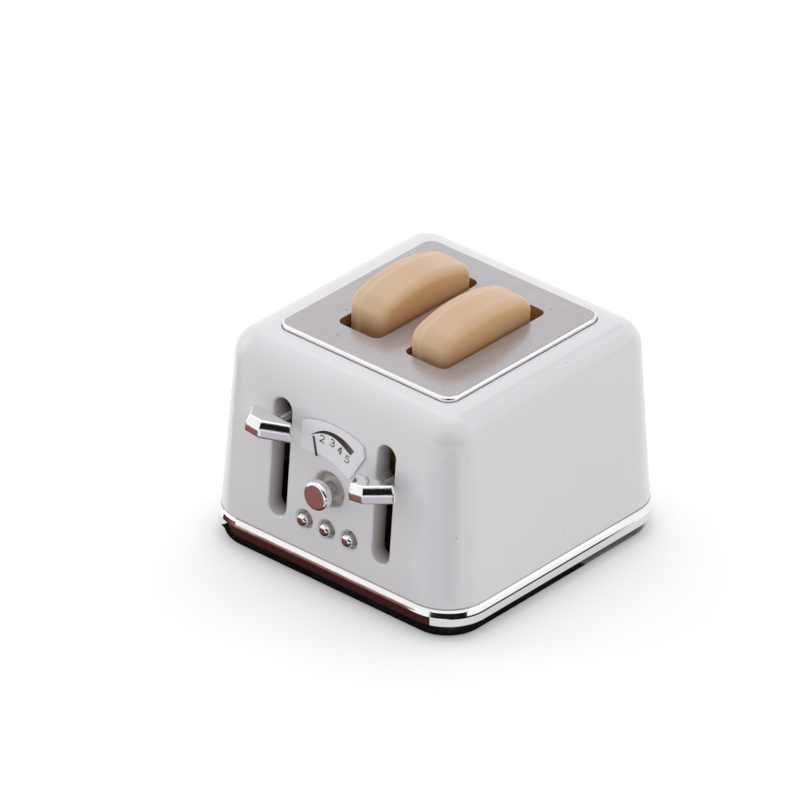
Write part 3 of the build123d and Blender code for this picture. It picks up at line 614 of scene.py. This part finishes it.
# ------------------------------------------------------------------ dial print, (x, rise) from the knob
CRESCENT_OUTER = [
    (-2.54, 4.57), (-2.05, 5.01), (-1.43, 5.42), (-0.84, 5.66), (-0.26, 5.76), (0.32, 5.77),
    (0.90, 5.69), (1.49, 5.51), (2.06, 5.24), (2.55, 4.93),
]
CRESCENT_INNER = [
    (-1.94, 4.94), (-1.38, 5.19), (-0.81, 5.35), (-0.24, 5.39), (0.35, 5.30), (0.90, 5.10),
    (1.25, 4.93), (1.56, 4.76), (1.84, 4.58), (2.13, 4.39),
]
NEEDLE = [(-2.15, 4.66), (-1.67, 2.86)]
NEEDLE_WIDTH = 0.29
DIGITS = {
    "2": [[(0.0, 0.74), (0.1, 0.93), (0.34, 1.0), (0.58, 0.9), (0.64, 0.7), (0.5, 0.46),
           (0.0, 0.06), (0.3, 0.03), (0.52, 0.0), (0.68, 0.12)]],
    "3": [[(0.04, 0.82), (0.18, 0.98), (0.44, 0.98), (0.6, 0.8), (0.5, 0.6), (0.26, 0.53)],
          [(0.26, 0.53), (0.56, 0.47), (0.68, 0.26), (0.54, 0.05), (0.28, 0.0), (0.06, 0.08),
           (0.0, 0.24)]],
    "4": [[(0.46, 0.0), (0.5, 1.0)], [(0.5, 1.0), (0.0, 0.32)], [(0.0, 0.32), (0.72, 0.32)],
          [(0.24, 0.0), (0.66, 0.0)]],
    "5": [[(0.66, 0.98), (0.14, 1.0)], [(0.14, 1.0), (0.08, 0.58)],
          [(0.08, 0.58), (0.34, 0.66), (0.6, 0.54), (0.68, 0.3), (0.54, 0.07), (0.26, 0.0),
           (0.04, 0.08), (0.0, 0.22)]],
}
DIGIT_PLACES = {                # each digit's middle, and its turn clockwise in degrees
    "2": (-1.14, 4.75, 5), "3": (0.04, 4.80, 8), "4": (0.94, 4.45, 9), "5": (1.79, 3.90, 12),
}
DIGIT_MIDDLE = Vector((0.34, 0.5))
DIGIT_HEIGHT, DIGIT_STROKE = 0.68, 0.10
CURVE_STEPS = 5


def curved(points):
    """A smooth line through the given points."""
    ends = [points[0]] + list(points) + [points[-1]]
    out = []
    for k in range(1, len(ends) - 2):
        a, b, c, d = (Vector(p) for p in ends[k - 1:k + 3])
        for step in range(CURVE_STEPS):
            t = step / CURVE_STEPS
            out.append(
                0.5 * (2 * b + (c - a) * t + (2 * a - 5 * b + 4 * c - d) * t**2
                       + (3 * b - a - 3 * c + d) * t**3)
            )
    out.append(Vector(points[-1]))
    return out


def add_ribbon(points, faces, line, width):
    """A flat stroke along a line on the dial."""
    start = len(points)
    for k, here in enumerate(line):
        before, after = line[max(0, k - 1)], line[min(len(line) - 1, k + 1)]
        way = (after - before).normalized()
        normal = Vector((-way.y, way.x)) * width / 2
        points.extend([here + normal, here - normal])
    for k in range(len(line) - 1):
        a = start + 2 * k
        faces.append((a, a + 2, a + 3, a + 1))


def dial_print():
    """The crescent, the needle and the numbers, as one thin piece on the dial."""
    flat = curved(CRESCENT_OUTER) + curved(CRESCENT_INNER)
    count = len(flat) // 2
    faces = [(k, k + 1, count + k + 1, count + k) for k in range(count - 1)]
    add_ribbon(flat, faces, [Vector(p) for p in NEEDLE], NEEDLE_WIDTH)
    for digit, (x, rise, turn) in DIGIT_PLACES.items():
        turned = Matrix.Rotation(-radians(turn), 2)
        for stroke in DIGITS[digit]:
            drawn = curved(stroke) if len(stroke) > 2 else [Vector(p) for p in stroke]
            line = [Vector((x, rise)) + turned @ (p - DIGIT_MIDDLE) * DIGIT_HEIGHT for p in drawn]
            add_ribbon(flat, faces, line, DIGIT_STROKE)
    points = [face_point(p.x, p.y, DIAL_PROUD + PRINT_PROUD) for p in flat]
    toy_piece("dial_print", points, faces, INK, "toaster", smooth=False)


dial_print()

# ------------------------------------------------------------------ camera, at the photograph's angle
AZIMUTH, ELEVATION, ROLL = radians(40.96), radians(30.58), radians(0.854)
FOCAL_PX, IMAGE_PX, SENSOR = 10192.9, 800, 36.0
AIM = Vector((3.405, 7.128, -889.115))      # plate centre as the camera sees it, mm

back = Vector(
    (sin(AZIMUTH) * cos(ELEVATION), -cos(AZIMUTH) * cos(ELEVATION), sin(ELEVATION))
)
level = (-back).cross(Vector((0, 0, 1))).normalized()
upright = level.cross(-back)
right = cos(ROLL) * level + sin(ROLL) * upright
up = cos(ROLL) * upright - sin(ROLL) * level
place = Vector((0, 0, PLATE_TOP)) - AIM.x * right - AIM.y * up - AIM.z * back
lens = bpy.data.cameras.new("camera")
lens.sensor_width = SENSOR
lens.lens = FOCAL_PX / IMAGE_PX * SENSOR
lens.clip_start = 0.05
lens.clip_end = 20
camera = new_object("camera", lens)
turned = Matrix((right, up, back)).transposed().to_4x4()
camera.matrix_world = Matrix.Translation(place * MM) @ turned
bpy.context.scene.camera = camera

# ------------------------------------------------------------------ world, floor and lamps, in metres
WORLD_ON_OBJECT = 0.80          # the white world's strength as a lamp; 1 where it is seen
TOY_MIDDLE = Vector((0, 0, 0.01))
FLOOR_HALF = 1.5
FLOOR_GLOW = 0.22               # lifts the floor to white where it is seen, but not as a lamp
STUDIO_RADIUS = 1.1


def seen_directly(tree):
    """1 for rays from the camera, a reflection or a refraction, 0 for diffuse light."""
    ray = tree.nodes.new("ShaderNodeLightPath")
    seen = ray.outputs["Is Camera Ray"]
    for kind in ("Is Glossy Ray", "Is Transmission Ray"):
        either = tree.nodes.new("ShaderNodeMath")
        either.operation = "MAXIMUM"
        tree.links.new(seen, either.inputs[0])
        tree.links.new(ray.outputs[kind], either.inputs[1])
        seen = either.outputs[0]
    return seen


def white_world():
    """White where it is seen, a little dimmer as a lamp."""
    world = bpy.data.worlds.new("studio")
    bpy.context.scene.world = world
    world.use_nodes = True
    tree = world.node_tree
    sky = tree.nodes["Background"]
    strength = tree.nodes.new("ShaderNodeMapRange")
    strength.inputs["To Min"].default_value = WORLD_ON_OBJECT
    tree.links.new(seen_directly(tree), strength.inputs["Value"])
    tree.links.new(strength.outputs["Result"], sky.inputs["Strength"])
    sky.inputs["Color"].default_value = (1.0, 1.0, 1.0, 1)


def stage_piece(name, points, faces, material):
    """A piece of the studio that is no part of the toy."""
    obj = new_object(name, new_mesh(name, points, faces, material))
    return obj


def pale_floor():
    """A floor that comes out white away from the toy's shadow."""
    m = Nodes("paper", Roughness=0.9, Specular_IOR_Level=0.0, Emission_Color=(1, 1, 1, 1))
    m.set(
        Base_Color=m.ramp(m.noise(40, 2), [(0.3, (0.88,) * 3), (0.7, (0.90,) * 3)]),
        Emission_Strength=m.times(seen_directly(m.tree), FLOOR_GLOW),
    )
    signs = ((-1, -1), (1, -1), (1, 1), (-1, 1))
    corners = [(x * FLOOR_HALF, y * FLOOR_HALF, 0) for x, y in signs]
    stage_piece("floor", corners, [(0, 1, 2, 3)], m.mat)


def lamp(name, place, size, watts):
    """A soft rectangular lamp that looks at the toy."""
    light = bpy.data.lights.new(name, "AREA")
    light.shape = "RECTANGLE"
    light.size, light.size_y = size
    light.energy = watts
    obj = new_object(name, light)
    obj.location = place
    obj.rotation_euler = (TOY_MIDDLE - Vector(place)).to_track_quat("-Z", "Y").to_euler()
    obj.visible_camera = False


white_world()
pale_floor()
lamp("top_softbox", (-0.15, 0.25, 0.9), (0.8, 0.8), 1.4)
lamp("left_softbox", (-0.8, -0.35, 0.35), (0.5, 0.7), 0.9)
lamp("right_softbox", (0.75, 0.45, 0.35), (0.5, 0.7), 0.35)

# ------------------------------------------------------------------ studio cards
BLACK_FELT = (0.008, 0.008, 0.009)
# the warm card's near colour is darker, a painted shadow close to the toy; its far colour is lighter
WARM_SHADED, WARM_LIGHT = (0.085, 0.028, 0.026), (0.30, 0.125, 0.108)
LILAC = (0.60, 0.57, 0.64)
FADE_Y = (-30, -19)             # a card's far colour to its near colour, in millimetres


def felt(name):
    """The dull cloth of a card."""
    return Nodes(name + "_felt", Roughness=0.95, Specular_IOR_Level=0.0)


def around(azimuth, z):
    """A point on the studio's wall, azimuth in degrees from the toy's front."""
    angle = radians(azimuth)
    return Vector((STUDIO_RADIUS * sin(angle), -STUDIO_RADIUS * cos(angle), z))


def dark_wall(name, start, end, height, steps=24):
    """A curved dark card that stands on the floor, between two azimuths."""
    azimuths = [start + (end - start) * step / steps for step in range(steps + 1)]
    points = [around(azimuth, z) for azimuth in azimuths for z in (0.0, height)]
    faces = [(2 * k, 2 * k + 2, 2 * k + 3, 2 * k + 1) for k in range(steps)]
    m = felt(name)
    m.set(Base_Color=m.ramp(m.noise(30, 2), [(0.3, (0.012,) * 3), (0.7, (0.02,) * 3)]))
    stage_piece(name, points, faces, m.mat).visible_camera = False


def glossy_card(name, points, near=BLACK_FELT, far=BLACK_FELT):
    """A card that only the glossy pieces see, its colour changing towards the front."""
    m = felt(name)
    _, y, _ = m.axis()
    toned = m.fade(y, FADE_Y)
    patchy = m.math("MULTIPLY_ADD", m.noise(60, 3), 0.12, toned, clamp=True)
    m.set(Base_Color=m.mix(patchy, far, near))
    obj = stage_piece(name, points, [tuple(range(len(points)))], m.mat)
    obj.visible_camera = False
    obj.visible_diffuse = False
    obj.visible_shadow = False


def on_table(outline, height):
    """The corners of a card on the table, from millimetres."""
    return [Vector((x, y, height)) * MM for x, y in outline]


def on_wall(azimuths, low, high):
    """The corners of an upright card around the set."""
    return [around(a, low) for a in azimuths] + [around(a, high) for a in reversed(azimuths)]


def facing(direction, distance, radius, corners=32):
    """The corners of a round card that faces the toy."""
    centre = Vector(direction).normalized() * distance
    turn = centre.to_track_quat("Z", "Y").to_matrix()
    angles = [2 * pi * k / corners for k in range(corners)]
    return [centre + turn @ Vector((cos(a), sin(a), 0)) * radius for a in angles]


# the dark side of the studio, behind the camera
dark_wall("dark_card", -12, 88, 0.42)
# a warm card on the table in front, in the trim's front, the knob and the levers; its near end is
# darker, a painted shadow close to the toy
glossy_card(
    "warm_card",
    on_table(
        [(-60, -16.3), (12, -16.3), (12, -19), (2, -24), (-3, -31), (-4, -36.6), (-60, -36.6)],
        0.02,
    ),
    WARM_SHADED, WARM_LIGHT,
)
# a black card seen only in reflections, a painted shadow of the table close under the trim
glossy_card(
    "contact_shadow_card",
    on_table(
        [(-15, -12), (13, -12), (13, 4), (16.3, 4), (16.3, -12), (12.6, -16.4), (-15, -16.4)],
        0.05,
    ),
)
# more of the dark, higher up behind the camera
glossy_card("camera_card", on_wall((20, 41, 62), 0.34, 1.0))
# the far table, the table off the front right corner, and the low dark on the right
glossy_card(
    "far_card",
    on_table([(-100, -250), (120, -250), (120, 0), (1100, 0), (1100, -1100), (-100, -1100)], 0.03),
)
glossy_card(
    "corner_card",
    on_table([(17.5, -21), (21, -36), (30, -52), (52, -60), (60, -30), (22, -17)], 0.03),
)
glossy_card("right_card", on_wall((100, 130, 160), 0.13, 0.24))
# a pale patch between the warm card and the corner's dark
glossy_card(
    "lilac_card",
    on_table(
        [(-2.5, -31.5), (3, -25), (13, -21), (17, -24), (20.5, -36), (26, -46), (26, -50),
         (-2.5, -50)],
        0.02,
    ),
    LILAC, LILAC,
)
# a round dark card high up behind the toy
glossy_card("rear_card", facing((-0.05, 0.66, 0.75), 1.0, 0.13))

bpy.context.scene.view_settings.view_transform = "Standard"
